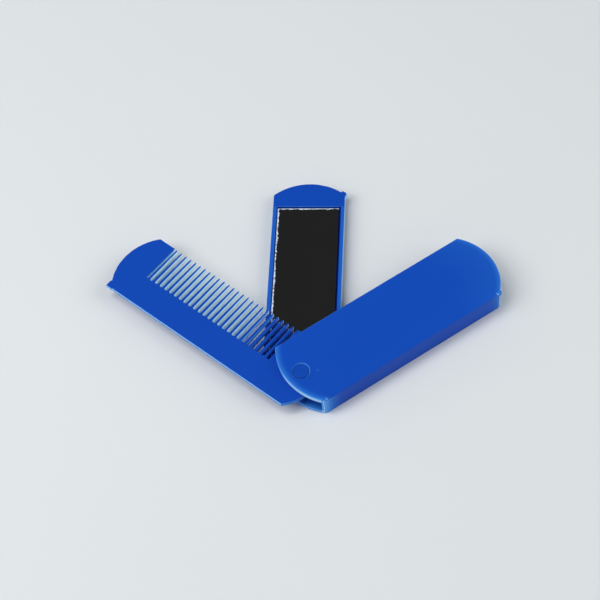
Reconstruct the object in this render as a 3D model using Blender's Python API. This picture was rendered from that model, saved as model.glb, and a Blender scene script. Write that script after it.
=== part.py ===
"""A folding pocket comb and mirror, half open.

A channel-shaped case holds two leaves, a comb above and a mirror below, which turn on one rivet.
The row's origin is on the case's underside, midway along its length and its width. The case
points along +X, its open side faces +Y, and +Z is up. Each leaf is modelled along its own +X,
with the rivet's axis at its origin, and is then turned to its half-open angle.
"""
import math

import bmesh
import bpy
from mathutils import Vector

MM = 0.001

# Case, in plan. Lengths are measured from the rivet's axis. The near end of the bottom plate is a lip
# that bulges past the top plate.
TOP_NEAR = 6.35 * MM
TOP_NEAR_RADIUS = 24.6 * MM
TOP_NEAR_MIDDLE = 0.5 * MM
LIP_NEAR = 7.1 * MM
LIP_RADIUS = 22.0 * MM
LIP_MIDDLE = 0.3 * MM
LIP_ROOT = 8.0 * MM
LIP_INSET = 0.2 * MM
LIP_CORNER_ROUND = 1.2 * MM
CASE_FAR = 87.3 * MM
CASE_FAR_RADIUS = 21.4 * MM
CASE_FAR_MIDDLE = 0.45 * MM
SPINE_REACH = 16.1 * MM
SPINE_WALL = 1.25 * MM
TOP_WALL = 2.0 * MM
BOTTOM_WALL = 1.9 * MM
CASE_TOP_ROUND = 0.5 * MM
CASE_BOTTOM_ROUND = 0.4 * MM
SPINE_NUB_LENGTH = 2.2 * MM
SPINE_NUB_WIDTH = 1.1 * MM
SPINE_NUB_HEIGHT = 0.45 * MM
SPINE_NUB_INSET = 0.75 * MM
NEAR_NUB_INSET = 2.4 * MM
FAR_NUB_INSET = 0.4 * MM
SPINE_CORNER_ROUND = 2.0 * MM

# Clearances between the pieces.
LAYER_GAP = 0.3 * MM
SWING_GAP = 0.3 * MM
TIP_GAP = 0.55 * MM
HOLDER_SIDE_GAP = 1.15 * MM
PIN_GAP = 0.3 * MM
SEAT_GAP = 0.2 * MM

# Comb leaf.
COMB_THICKNESS = 1.9 * MM
COMB_OVERHANG = 1.75 * MM
COMB_END_RADIUS = 21.3 * MM
COMB_HEEL_RADIUS = 20.8 * MM
COMB_HEEL_CORNER = 2.08 * MM
COMB_EDGE_ROUND = 0.2 * MM
COMB_TAB_WIDTH = 2.8 * MM
COMB_TAB_LENGTH = 2.6 * MM
COMB_TAB_PROUD = 0.25 * MM
COMB_TAB_REACH = 0.35 * MM
TOOTH_PITCH = 2.45 * MM
TOOTH_ROOT = 2.5 * MM
SLOT_ROOT_WIDTH = 1.25 * MM
SLOT_FLARE = 0.225 * MM
BLOCK_SLOT_WIDTH = 0.8 * MM
TOOTH_POINT = 0.9 * MM
TOOTH_POINT_FLARE = 0.22 * MM
TEETH_START = 13.0 * MM
END_BLOCK = 13.15 * MM

# Mirror leaf.
HOLDER_THICKNESS = 2.5 * MM
HOLDER_OVERHANG = 2.6 * MM
HOLDER_END_RADIUS = 21.4 * MM
HOLDER_HEEL_REACH = 7.0 * MM
HOLDER_HEEL_CORNER = 2.0 * MM
HOLDER_PROUD = 0.6 * MM
HOLDER_EDGE_ROUND = 0.25 * MM
HOLDER_TAB_WIDTH = 2.0 * MM
HOLDER_TAB_PROUD = 0.45 * MM
HOLDER_FLOOR = 0.6 * MM
RAIL_WIDTH = 1.65 * MM
RECESS_START = 9.0 * MM
RECESS_END_BLOCK = 11.15 * MM
GLASS_THICKNESS = 1.1 * MM
GLASS_EDGE_ROUND = 0.35 * MM
GLASS_PLAY = 0.5 * MM
GLASS_SHIFT = 0.25 * MM
TAPE_THICKNESS = 0.2 * MM
TAPE_INSET = 2.5 * MM

# Rivet.
PIN_RADIUS = 2.0 * MM
PIN_HEAD_RADIUS = 3.1 * MM
PIN_HEAD_THICKNESS = 0.8 * MM
PIN_FOOT_RADIUS = 2.8 * MM
PIN_FOOT_THICKNESS = 0.7 * MM

# How far each leaf is open, from lying in the case.
COMB_OPEN = math.radians(107.0)
HOLDER_OPEN = math.radians(53.8)

# Levels of the stack, from the case's underside.
HOLDER_BOTTOM = BOTTOM_WALL + LAYER_GAP
HOLDER_TOP = HOLDER_BOTTOM + HOLDER_THICKNESS
COMB_BOTTOM = HOLDER_TOP + LAYER_GAP
COMB_TOP = COMB_BOTTOM + COMB_THICKNESS
CASE_CEILING = COMB_TOP + LAYER_GAP
CASE_TOP = CASE_CEILING + TOP_WALL

# Widths that follow from the spine. The comb's heel corner just swings past the spine, the case's
# open edge is flush with the comb's back, and the teeth end short of the spine's inner face.
SPINE_FACE = SPINE_REACH - SPINE_WALL
SWING_RADIUS = SPINE_FACE - SWING_GAP
COMB_BACK = math.sqrt(SWING_RADIUS ** 2 - COMB_HEEL_CORNER ** 2)
OPEN_REACH = COMB_BACK
TOOTH_REACH = SPINE_FACE - TIP_GAP
HOLDER_LEFT = OPEN_REACH + HOLDER_PROUD
HOLDER_RIGHT = SPINE_FACE - HOLDER_SIDE_GAP
COMB_END = CASE_FAR + COMB_OVERHANG
HOLDER_END = CASE_FAR + HOLDER_OVERHANG
RECESS_END = HOLDER_END - RECESS_END_BLOCK

# The rivet's axis in the row's frame.
PIVOT_X = -(CASE_FAR - LIP_NEAR) / 2
PIVOT_Y = (SPINE_REACH - OPEN_REACH) / 2

BEYOND = 5.0 * MM


def arc(centre, radius, start, end, steps):
    """Points on a circle about centre, from angle start to angle end, both included."""
    points = []
    for step in range(steps + 1):
        angle = start + (end - start) * step / steps
        points.append((centre[0] + radius * math.cos(angle), centre[1] + radius * math.sin(angle)))
    return points


def end_arc(tip, radius, low, high, steps, middle=0.0):
    """The bulging far end of a plate: an arc whose outermost point is at x = tip."""
    start = math.asin((low - middle) / radius)
    end = math.asin((high - middle) / radius)
    return arc((tip - radius, middle), radius, start, end, steps)


def near_arc(tip, radius, high, low, steps, middle=0.0):
    """The bulging near end of a plate, whose outermost point is at x = -tip, from high to low."""
    mirrored = end_arc(tip, radius, low, high, steps, middle)
    return [(-x, y) for x, y in reversed(mirrored)]


def chord_rise(radius, half_width):
    """How far an arc of this radius bulges past a chord of this half width."""
    return radius - math.sqrt(radius ** 2 - half_width ** 2)


def rounded_corner(before, corner, after, radius, steps):
    """Points that round a corner of an outline, on an arc that stays within its two sides."""
    back = Vector(before) - Vector(corner)
    ahead = Vector(after) - Vector(corner)
    half_angle = back.angle(ahead) / 2
    reach = min(radius / math.tan(half_angle), 0.9 * back.length, 0.9 * ahead.length)
    inward = (back.normalized() + ahead.normalized()).normalized()
    centre = Vector(corner) + inward * reach / math.cos(half_angle)
    first = Vector(corner) + back.normalized() * reach - centre
    turn = math.pi - 2 * half_angle
    start = math.atan2(first.y, first.x)
    return arc(centre, first.length, start, start + turn, steps)


def material(name, colour, roughness, metallic=0.0):
    """A Principled material. The colour is linear RGB."""
    new = bpy.data.materials.new(name)
    new.use_nodes = True
    shader = new.node_tree.nodes["Principled BSDF"]
    shader.inputs["Base Color"].default_value = (*colour, 1.0)
    shader.inputs["Roughness"].default_value = roughness
    shader.inputs["Metallic"].default_value = metallic
    new.diffuse_color = (*colour, 1.0)
    return new


def add_object(name, mesh_builder, finish=None):
    """Turns a bmesh into an object, with its normals facing out."""
    bmesh.ops.recalc_face_normals(mesh_builder, faces=mesh_builder.faces)
    mesh = bpy.data.meshes.new(name)
    mesh_builder.to_mesh(mesh)
    mesh_builder.free()
    new = bpy.data.objects.new(name, mesh)
    bpy.context.scene.collection.objects.link(new)
    if finish is not None:
        mesh.materials.append(finish)
        mesh.shade_smooth()
        mesh.set_sharp_from_angle(angle=math.radians(35))
    return new


def plate_mesh(outline, bottom, top, top_round=0.0, bottom_round=0.0, segments=1):
    """A flat plate: the outline extruded from bottom to top, with its rims rounded or chamfered."""
    plate = bmesh.new()
    floor = plate.faces.new([plate.verts.new((x, y, bottom)) for x, y in outline])
    raised = bmesh.ops.extrude_face_region(plate, geom=[floor])
    lifted = [item for item in raised["geom"] if isinstance(item, bmesh.types.BMVert)]
    bmesh.ops.translate(plate, verts=lifted, vec=(0, 0, top - bottom))
    for level, radius in ((top, top_round), (bottom, bottom_round)):
        if radius > 0.0:
            rim = [edge for edge in plate.edges if all(abs(v.co.z - level) < MM / 1000 for v in edge.verts)]
            bmesh.ops.bevel(plate, geom=rim, offset=radius, offset_type="OFFSET", segments=segments,
                            profile=0.5, affect="EDGES", clamp_overlap=True)
    return plate


def turned_mesh(profile, steps):
    """A solid of revolution about Z, from (radius, height) pairs that start and end on the axis."""
    turned = bmesh.new()
    verts = [turned.verts.new((radius, 0, height)) for radius, height in profile]
    edges = [turned.edges.new(pair) for pair in zip(verts, verts[1:])]
    bmesh.ops.spin(turned, geom=verts + edges, cent=(0, 0, 0), axis=(0, 0, 1),
                   angle=2 * math.pi, steps=steps, use_merge=True)
    bmesh.ops.remove_doubles(turned, verts=turned.verts, dist=MM / 1000)
    return turned


def drum(radius, bottom, top, steps=32):
    """A round cutter about the rivet's axis."""
    return turned_mesh([(0, bottom), (radius, bottom), (radius, top), (0, top)], steps)


def combine(target, cutter, operation="DIFFERENCE"):
    """Cuts the cutter out of the target, or joins it on, and hides the cutter."""
    cutter.hide_render = True
    cutter.display_type = "WIRE"
    cutter.parent = target.parent
    boolean = target.modifiers.new(cutter.name, "BOOLEAN")
    boolean.operation = operation
    boolean.object = cutter
    boolean.solver = "EXACT"


def pivot_empty(name, angle):
    """An empty on the rivet's axis, turned by a leaf's opening angle."""
    empty = bpy.data.objects.new(name, None)
    empty.location = (PIVOT_X, PIVOT_Y, 0)
    empty.rotation_euler = (0, 0, angle)
    bpy.context.scene.collection.objects.link(empty)
    return empty


def build_case(pivot, finish):
    """The channel: an outer block with rounded rims, and the slot cut through it from the open side."""
    outline = end_arc(CASE_FAR, CASE_FAR_RADIUS, -SPINE_REACH, OPEN_REACH, 28, CASE_FAR_MIDDLE)
    outline += near_arc(TOP_NEAR, TOP_NEAR_RADIUS, OPEN_REACH, -SPINE_REACH, 20, TOP_NEAR_MIDDLE)
    far_corner = rounded_corner(outline[-1], outline[0], outline[1], SPINE_CORNER_ROUND, 4)
    near_corner = rounded_corner(outline[-2], outline[-1], outline[0], SPINE_CORNER_ROUND, 4)
    outline = far_corner + outline[1:-1] + near_corner
    case = add_object("case", plate_mesh(outline, 0, CASE_TOP, CASE_TOP_ROUND, CASE_BOTTOM_ROUND, 4), finish)
    case.parent = pivot
    combine(case, add_object("case_lip", case_lip()), "UNION")

    slot = rectangle(-LIP_NEAR - BEYOND, CASE_FAR + BEYOND, -SPINE_FACE, OPEN_REACH + BEYOND)
    combine(case, add_object("case_slot_cutter", plate_mesh(slot, BOTTOM_WALL, CASE_CEILING)))

    rivet_hole = turned_mesh([
        (0, -BEYOND),
        (PIN_FOOT_RADIUS + PIN_GAP, -BEYOND),
        (PIN_FOOT_RADIUS + PIN_GAP, PIN_FOOT_THICKNESS + PIN_GAP),
        (PIN_RADIUS + PIN_GAP, PIN_FOOT_THICKNESS + PIN_GAP),
        (PIN_RADIUS + PIN_GAP, CASE_TOP - PIN_HEAD_THICKNESS - PIN_GAP),
        (PIN_HEAD_RADIUS + PIN_GAP, CASE_TOP - PIN_HEAD_THICKNESS - PIN_GAP),
        (PIN_HEAD_RADIUS + PIN_GAP, CASE_TOP + BEYOND),
        (0, CASE_TOP + BEYOND)], 40)
    combine(case, add_object("case_rivet_cutter", rivet_hole))

    nub_y = -SPINE_REACH + SPINE_NUB_INSET
    near_edge = -TOP_NEAR + chord_rise(TOP_NEAR_RADIUS, nub_y - TOP_NEAR_MIDDLE)
    far_edge = CASE_FAR - chord_rise(CASE_FAR_RADIUS, nub_y - CASE_FAR_MIDDLE)
    combine(case, add_object("case_near_nub", spine_nub(near_edge + NEAR_NUB_INSET, nub_y)), "UNION")
    combine(case, add_object("case_far_nub", spine_nub(far_edge - FAR_NUB_INSET, nub_y)), "UNION")


def case_lip():
    """The near end of the bottom plate, whose other sides are sunk into the case's block."""
    low = -SPINE_REACH + LIP_INSET
    high = OPEN_REACH - LIP_INSET
    outline = near_arc(LIP_NEAR, LIP_RADIUS, high, low, 20, LIP_MIDDLE)
    corner = rounded_corner(outline[-2], outline[-1], (LIP_ROOT, low), LIP_CORNER_ROUND, 4)
    outline = outline[:-1] + corner + [(LIP_ROOT, low), (LIP_ROOT, high)]
    return plate_mesh(outline, 0, BOTTOM_WALL, 0, CASE_BOTTOM_ROUND, 4)


def spine_nub(x, y):
    """A small rounded lug on top of the spine, sunk into the top plate."""
    half_length = (SPINE_NUB_LENGTH - SPINE_NUB_WIDTH) / 2
    radius = SPINE_NUB_WIDTH / 2
    outline = arc((x + half_length, y), radius, -math.pi / 2, math.pi / 2, 8)
    outline += arc((x - half_length, y), radius, math.pi / 2, 3 * math.pi / 2, 8)
    top = CASE_TOP + SPINE_NUB_HEIGHT
    return plate_mesh(outline, CASE_TOP - TOP_WALL / 2, top, SPINE_NUB_HEIGHT / 2, 0, 2)


def comb_outline():
    """The comb leaf in plan: round end with its tab, straight back, round heel, and teeth."""
    tab_low = COMB_BACK - COMB_TAB_WIDTH
    tab_x = COMB_END - chord_rise(COMB_END_RADIUS, tab_low) + COMB_TAB_REACH
    outline = end_arc(COMB_END, COMB_END_RADIUS, -TOOTH_REACH, tab_low, 24)
    outline += [(tab_x, tab_low + COMB_TAB_REACH), (tab_x, COMB_BACK + COMB_TAB_PROUD),
                (tab_x - COMB_TAB_LENGTH, COMB_BACK + COMB_TAB_PROUD),
                (tab_x - COMB_TAB_LENGTH - COMB_TAB_PROUD, COMB_BACK)]
    heel_tip = COMB_HEEL_CORNER + chord_rise(COMB_HEEL_RADIUS, COMB_BACK)
    outline += near_arc(heel_tip, COMB_HEEL_RADIUS, COMB_BACK, -TOOTH_REACH, 20)
    block_slot = COMB_END - END_BLOCK - BLOCK_SLOT_WIDTH
    slots = int((block_slot - TEETH_START) / TOOTH_PITCH)
    for index in reversed(range(1, slots + 1)):
        outline += slot_outline(block_slot - index * TOOTH_PITCH, SLOT_ROOT_WIDTH, SLOT_FLARE)
    # The last slot is narrower, and straight on the end block's side.
    outline += slot_outline(block_slot, BLOCK_SLOT_WIDTH, 0.0)
    return outline


def slot_outline(near, width, far_flare):
    """One gap between two teeth, from its mouth to its round root and back. Its near wall is at x = near
    at the root, and the gap widens towards its mouth."""
    radius = width / 2
    far = near + width
    shoulder = -TOOTH_REACH + TOOTH_POINT
    points = [(near - SLOT_FLARE - TOOTH_POINT_FLARE, -TOOTH_REACH), (near - SLOT_FLARE, shoulder)]
    points += arc((near + radius, TOOTH_ROOT - radius), radius, math.pi, 0, 6)
    points += [(far + far_flare, shoulder), (far + far_flare + TOOTH_POINT_FLARE, -TOOTH_REACH)]
    return points


def build_comb(pivot, finish):
    """The comb leaf."""
    mesh = plate_mesh(comb_outline(), COMB_BOTTOM, COMB_TOP, COMB_EDGE_ROUND, COMB_EDGE_ROUND)
    comb = add_object("comb_blade", mesh, finish)
    comb.parent = pivot
    combine(comb, add_object("comb_hole_cutter", drum(PIN_RADIUS + PIN_GAP, 0, CASE_TOP)))


def build_holder(pivot, finish):
    """The mirror leaf: a plate with a recess between two rails, and a tab at its far right corner."""
    middle = (HOLDER_LEFT - HOLDER_RIGHT) / 2
    half_width = (HOLDER_LEFT + HOLDER_RIGHT) / 2
    corner_x = HOLDER_END - chord_rise(HOLDER_END_RADIUS, half_width)
    tab_low = -HOLDER_RIGHT + HOLDER_TAB_WIDTH
    tab_x = HOLDER_END - chord_rise(HOLDER_END_RADIUS, middle - tab_low) + HOLDER_TAB_PROUD
    outline = [(corner_x - HOLDER_TAB_WIDTH / 2, -HOLDER_RIGHT),
               (corner_x, -HOLDER_RIGHT - HOLDER_TAB_PROUD),
               (tab_x - HOLDER_TAB_WIDTH / 2, -HOLDER_RIGHT - HOLDER_TAB_PROUD),
               (tab_x, -HOLDER_RIGHT + HOLDER_TAB_WIDTH / 2)]
    outline += end_arc(HOLDER_END, HOLDER_END_RADIUS, tab_low, HOLDER_LEFT, 24, middle)
    # The heel is the arc through both corners and the heel's outermost point.
    rise = HOLDER_HEEL_REACH + HOLDER_HEEL_CORNER
    heel_radius = (half_width ** 2 + rise ** 2) / (2 * rise)
    outline += near_arc(HOLDER_HEEL_REACH, heel_radius, HOLDER_LEFT, -HOLDER_RIGHT, 20, middle)
    mesh = plate_mesh(outline, HOLDER_BOTTOM, HOLDER_TOP, HOLDER_EDGE_ROUND, HOLDER_EDGE_ROUND, 2)
    holder = add_object("mirror_holder", mesh, finish)
    holder.parent = pivot

    recess = rectangle(RECESS_START, RECESS_END, -HOLDER_RIGHT + RAIL_WIDTH, HOLDER_LEFT - RAIL_WIDTH)
    combine(holder, add_object("recess_cutter", plate_mesh(recess, HOLDER_BOTTOM + HOLDER_FLOOR, CASE_TOP)))
    combine(holder, add_object("holder_hole_cutter", drum(PIN_RADIUS + PIN_GAP, 0, CASE_TOP)))


def rectangle(x_low, x_high, y_low, y_high):
    """A rectangle's corners, anticlockwise."""
    return [(x_low, y_low), (x_high, y_low), (x_high, y_high), (x_low, y_high)]


def build_glass(pivot, finish):
    """The mirror glass, a little smaller than its recess and stuck in off centre."""
    bottom = HOLDER_BOTTOM + HOLDER_FLOOR + SEAT_GAP + TAPE_THICKNESS + SEAT_GAP
    low = -HOLDER_RIGHT + RAIL_WIDTH + GLASS_PLAY + GLASS_SHIFT
    high = HOLDER_LEFT - RAIL_WIDTH - GLASS_PLAY + GLASS_SHIFT
    outline = rectangle(RECESS_START + GLASS_PLAY, RECESS_END - GLASS_PLAY, low, high)
    mesh = plate_mesh(outline, bottom, bottom + GLASS_THICKNESS, GLASS_EDGE_ROUND, 0)
    glass = add_object("mirror_glass", mesh, finish)
    glass.parent = pivot


def build_tape(pivot, finish):
    """The double-sided tape between the glass and the floor of its recess."""
    bottom = HOLDER_BOTTOM + HOLDER_FLOOR + SEAT_GAP
    outline = rectangle(RECESS_START + TAPE_INSET, RECESS_END - TAPE_INSET,
                        -HOLDER_RIGHT + RAIL_WIDTH + TAPE_INSET, HOLDER_LEFT - RAIL_WIDTH - TAPE_INSET)
    tape = add_object("mirror_adhesive", plate_mesh(outline, bottom, bottom + TAPE_THICKNESS), finish)
    tape.parent = pivot


def build_pin(pivot, finish):
    """The rivet: a flush head, a shank through both leaves, and a foot closed over underneath."""
    profile = [(0, 0), (PIN_FOOT_RADIUS, 0), (PIN_FOOT_RADIUS, PIN_FOOT_THICKNESS),
               (PIN_RADIUS, PIN_FOOT_THICKNESS), (PIN_RADIUS, CASE_TOP - PIN_HEAD_THICKNESS),
               (PIN_HEAD_RADIUS, CASE_TOP - PIN_HEAD_THICKNESS), (PIN_HEAD_RADIUS, CASE_TOP), (0, CASE_TOP)]
    pin = add_object("pivot_pin", turned_mesh(profile, 40), finish)
    pin.parent = pivot


def main():
    """Builds the comb in an emptied scene."""
    for old in list(bpy.data.objects):
        bpy.data.objects.remove(old, do_unlink=True)
    case_pivot = pivot_empty("case_pivot", 0)
    comb_pivot = pivot_empty("comb_pivot", COMB_OPEN)
    holder_pivot = pivot_empty("holder_pivot", HOLDER_OPEN)
    build_case(case_pivot, material("case_plastic", (0.0086, 0.0723, 0.440), 0.36))
    build_pin(case_pivot, material("pin_plastic", (0.0086, 0.0690, 0.420), 0.36))
    build_comb(comb_pivot, material("comb_plastic", (0.0097, 0.0648, 0.429), 0.36))
    build_holder(holder_pivot, material("holder_plastic", (0.0097, 0.0648, 0.429), 0.36))
    build_glass(holder_pivot, material("mirror_silver", (0.80, 0.80, 0.80), 0.03, 1.0))
    build_tape(holder_pivot, material("white_tape", (0.70, 0.70, 0.66), 0.70))


main()
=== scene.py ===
"""The looks of a folding pocket comb and mirror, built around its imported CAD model."""
import math
import random

import bmesh
import bpy
from mathutils import Matrix, Vector


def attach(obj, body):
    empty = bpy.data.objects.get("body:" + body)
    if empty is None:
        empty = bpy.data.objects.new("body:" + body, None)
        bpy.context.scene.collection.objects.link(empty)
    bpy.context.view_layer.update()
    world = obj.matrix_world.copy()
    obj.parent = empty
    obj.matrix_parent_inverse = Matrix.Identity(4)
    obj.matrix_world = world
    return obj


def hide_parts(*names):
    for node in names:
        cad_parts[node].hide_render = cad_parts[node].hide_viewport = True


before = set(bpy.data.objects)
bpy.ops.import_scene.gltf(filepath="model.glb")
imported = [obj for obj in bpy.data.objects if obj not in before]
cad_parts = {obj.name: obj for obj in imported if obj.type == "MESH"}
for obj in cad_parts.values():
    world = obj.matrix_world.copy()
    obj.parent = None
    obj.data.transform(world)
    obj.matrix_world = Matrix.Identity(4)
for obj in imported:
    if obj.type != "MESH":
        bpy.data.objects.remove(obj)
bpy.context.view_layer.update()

MM = 0.001

# Case, in plan, from the rivet's axis. These repeat the CAD model's sizes.
TOP_NEAR = 6.35 * MM
TOP_NEAR_RADIUS = 24.6 * MM
TOP_NEAR_MIDDLE = 0.5 * MM
LIP_NEAR = 7.1 * MM
LIP_RADIUS = 22.0 * MM
LIP_MIDDLE = 0.3 * MM
LIP_ROOT = 8.0 * MM
LIP_INSET = 0.2 * MM
LIP_CORNER_ROUND = 1.2 * MM
CASE_FAR = 87.3 * MM
CASE_FAR_RADIUS = 21.4 * MM
CASE_FAR_MIDDLE = 0.45 * MM
SPINE_REACH = 16.1 * MM
SPINE_WALL = 1.25 * MM
SPINE_FACE = SPINE_REACH - SPINE_WALL
SPINE_CORNER_ROUND = 2.0 * MM
SPINE_EXTRA_POINTS = (2 * MM, 3.5 * MM, 5 * MM, 6.5 * MM, 8 * MM)
SLOT_EDGE_ROUND = 0.12 * MM
CASE_TOP_ROUND = 0.5 * MM
CASE_BOTTOM_ROUND = 0.4 * MM
OPEN_REACH = 14.4 * MM
BOTTOM_WALL = 1.9 * MM
CASE_CEILING = 7.2 * MM
CASE_TOP = 9.2 * MM
SPINE_NUB_LENGTH = 2.2 * MM
SPINE_NUB_WIDTH = 1.1 * MM
SPINE_NUB_HEIGHT = 0.45 * MM
SPINE_NUB_INSET = 0.75 * MM
NEAR_NUB_INSET = 2.4 * MM
FAR_NUB_INSET = 0.4 * MM
GATE_MARK_X = 5.5 * MM
GATE_MARK_Y = -3.3 * MM
GATE_MARK_RADIUS = 0.6 * MM
GATE_MARK_HEIGHT = 0.16 * MM

# Comb leaf.
COMB_BOTTOM = 5.0 * MM
COMB_TOP = 6.9 * MM
COMB_BACK = 14.4 * MM
COMB_END = 89.05 * MM
COMB_END_RADIUS = 21.3 * MM
COMB_HEEL_RADIUS = 20.8 * MM
COMB_HEEL_CORNER = 2.08 * MM
COMB_EDGE_ROUND = 0.2 * MM
COMB_TAB_WIDTH = 2.8 * MM
COMB_TAB_LENGTH = 2.6 * MM
COMB_TAB_PROUD = 0.25 * MM
COMB_TAB_REACH = 0.35 * MM
# How high the darker band of painted shade at the bottom of the comb's wall reaches.
COMB_DARK_BAND = 0.6 * MM
TOOTH_REACH = 14.3 * MM
TOOTH_PITCH = 2.45 * MM
TOOTH_ROOT = 2.5 * MM
SLOT_ROOT_WIDTH = 1.25 * MM
SLOT_FLARE = 0.225 * MM
BLOCK_SLOT_WIDTH = 0.8 * MM
TOOTH_POINT = 0.9 * MM
TOOTH_POINT_FLARE = 0.22 * MM
TEETH_START = 13.0 * MM
END_BLOCK = 13.15 * MM
BLOCK_WALL = COMB_END - END_BLOCK

# Mirror leaf.
HOLDER_BOTTOM = 2.2 * MM
HOLDER_TOP = 4.7 * MM
HOLDER_END = 89.9 * MM
HOLDER_END_RADIUS = 21.4 * MM
HOLDER_HEEL_REACH = 7.0 * MM
HOLDER_HEEL_CORNER = 2.0 * MM
HOLDER_EDGE_ROUND = 0.35 * MM
HOLDER_LEFT = 15.0 * MM
HOLDER_RIGHT = 13.7 * MM
HOLDER_TAB_WIDTH = 2.0 * MM
HOLDER_TAB_PROUD = 0.45 * MM
HOLDER_FLOOR = 0.6 * MM
RAIL_WIDTH = 1.65 * MM
RECESS_START = 9.0 * MM
RECESS_END = 78.75 * MM
RECESS_EDGE_ROUND = 0.1 * MM
RAIL_LOW = -HOLDER_RIGHT + RAIL_WIDTH
RAIL_HIGH = HOLDER_LEFT - RAIL_WIDTH

# Mirror glass. Its right side is hardly ground, and its far, left and near sides are, by these widths.
GLASS_BOTTOM = 3.2 * MM
GLASS_TOP = 4.3 * MM
GLASS_PLAY = 0.5 * MM
GLASS_SHIFT = 0.25 * MM
GROUND_WIDTHS = (0.05 * MM, 0.62 * MM, 0.6 * MM, 0.4 * MM)
GROUND_DEPTH = 0.3 * MM
GROUND_STEP = 0.1 * MM
CHIP_SPACING = 0.28 * MM
GLASS_STRIP = 1.5 * MM

# Rivet and its seat.
PIN_RADIUS = 2.0 * MM
PIN_HEAD_RADIUS = 3.1 * MM
PIN_HEAD_THICKNESS = 0.8 * MM
PIN_FOOT_RADIUS = 2.8 * MM
PIN_FOOT_THICKNESS = 0.7 * MM
PIN_EASE = 0.28 * MM
PIN_GAP = 0.3 * MM
HEAD_GAP = 0.01 * MM
SEAT_CHAMFER = 0.35 * MM

# The rivet's axis and how far each leaf is open.
PIVOT = Vector((-40.1 * MM, 0.85 * MM, 0.0))
COMB_OPEN = math.radians(107.0)
HOLDER_OPEN = math.radians(53.8)

# The plastic's colour in each moulding, and the colours that painted light turns it towards as the
# painted level grows, as (from, to, colour). Below 0 the level is painted shade, darker than elsewhere.
CASE_BLUE = (0.0075, 0.073, 0.480)
LEAF_BLUE = (0.0070, 0.067, 0.458)
PIN_BLUE = (0.0070, 0.066, 0.430)
PAINTED_LIGHT_STAGES = (
    (0.0, 0.25, (0.030, 0.20, 0.67)),
    (0.25, 0.5, (0.12, 0.38, 0.87)),
    (0.5, 1.0, (0.67, 0.92, 1.0)),
)
PAINTED_SHADE_STAGE = (-0.25, 0.0, (0.002, 0.030, 0.27))

# How far from the rivet's axis its seat and the leaves' holes reach. Little painted light goes there.
SEAT_REACH = 5.0 * MM
HOLE_REACH = 3.0 * MM

# How much painted light (above 0) or painted shade (below 0) the case's faces get. A rise is added
# towards one end of a face.
SEAT_LIGHT = 0.12
SEAT_RISE = 0.2
NUB_NEAR_LIGHT = 0.6
NUB_LIGHT = 0.05
SLOT_FLOOR_LIGHT = 0.04
SPINE_INSIDE_LIGHT = -0.05
SPINE_LIGHT = -0.045
SPINE_NEAR_RISE = 0.25
SPINE_FAR_RISE = 0.04
SPINE_FADE_START = 0.5 * MM
SPINE_FADE_END = 8.0 * MM
SPINE_CORNER_LIGHT = 0.46
SPINE_END_LIGHT = 0.12
FAR_END_LIGHT = 0.5
OPEN_SIDE_LIGHT = 0.3
LIP_LIGHT = 0.12
NEAR_END_LIGHT = 0.5
NEAR_END_OPEN_DROP = 0.35
NEAR_END_SPINE_DROP = 0.1

# How much painted light the comb's faces get.
TOOTH_FADE_START = 22.0 * MM
TOOTH_FADE_END = 30.0 * MM
TOOTH_TIP_LENGTH = 0.8 * MM
SHADED_TOOTH_LIGHT = 0.08
SHADED_TIP_RISE = 0.5
TAB_LIGHT = 0.6
COMB_END_LIGHT = 0.25
COMB_END_START = 80.0 * MM
COMB_HEEL_LIGHT = 0.05
COMB_HEEL_RISE = 0.25
COMB_BACK_LIGHT = 0.6
COMB_DARK_LIGHT = 0.12

# How much painted light the mirror leaf's faces get, and how much painted shade the rivet's rim gets.
RAIL_LIGHT = 0.08
RIGHT_EDGE_LIGHT = 0.7
TRAY_SIDE_LIGHT = 0.55
TRAY_RIGHT_RISE = 0.2
PIN_RIM_LIGHT = -0.2

# The soft bands of painted light along the case's end arcs: how wide and strong they are, and where
# along the case each starts and is full.
NEAR_BAND = (2.8 * MM, 0.26, 12.0 * MM, 5.0 * MM)
FAR_WIDE_BAND = (20.0 * MM, 0.05, 62.0 * MM, 74.0 * MM)
FAR_BAND = (2.4 * MM, 0.18, 65.0 * MM, 72.0 * MM)

# How rough the plastic is, how far that wanders, and how much it reflects.
PLASTIC_ROUGHNESS = 0.24
ROUGHNESS_SWING = 0.02
PLASTIC_SHINE = 0.07

# The camera, above the floor, on axes that start at the rivet: right, ahead and up as it sees them.
STAGE_TURN = math.radians(-27.83)
CAMERA_PLACE = (2.82 * MM, -347.18 * MM, 579.09 * MM)
CAMERA_PITCH = math.radians(56.41)
CAMERA_ROLL = math.radians(6.90)
CAMERA_LENS = 108.0
CAMERA_SENSOR = 36.0

# The soft square lights, on the same axes: name, place, side and power. They face this target.
SOFT_LIGHTS = (
    ("top_light", (-0.25, 0.18, 1.08), 0.42, 3.3),
    ("left_light", (-0.82, -0.12, 0.88), 0.8, 8.3),
    ("right_light", (0.9, -0.12, 0.75), 0.8, 4.8),
)
LIGHT_TARGET = (0.02, 0.03, 0.0)

# The world: pale walls up to a height that fades between these two, a dark ceiling, and its strength.
WALL_COLOUR = (0.80, 0.83, 0.85)
CEILING_COLOUR = (0.0195, 0.0195, 0.020)
WALL_TOP = (0.35, 0.55)
WORLD_STRENGTH = 0.95

FLOOR_RADIUS = 4.0
FLOOR_DROP = 0.02 * MM
STAGE = Matrix.Translation(PIVOT) @ Matrix.Rotation(STAGE_TURN, 4, "Z")

# How far a cutter reaches past what it cuts, and how far past a rounded corner an outline's next point
# lies at least.
BEYOND = 5.0 * MM
MARGIN = 0.05 * MM


def arc(centre, radius, start, end, steps):
    """Points on a circle about centre, from angle start to angle end, both included."""
    points = []
    for step in range(steps + 1):
        angle = start + (end - start) * step / steps
        points.append((centre[0] + radius * math.cos(angle), centre[1] + radius * math.sin(angle)))
    return points


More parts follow.
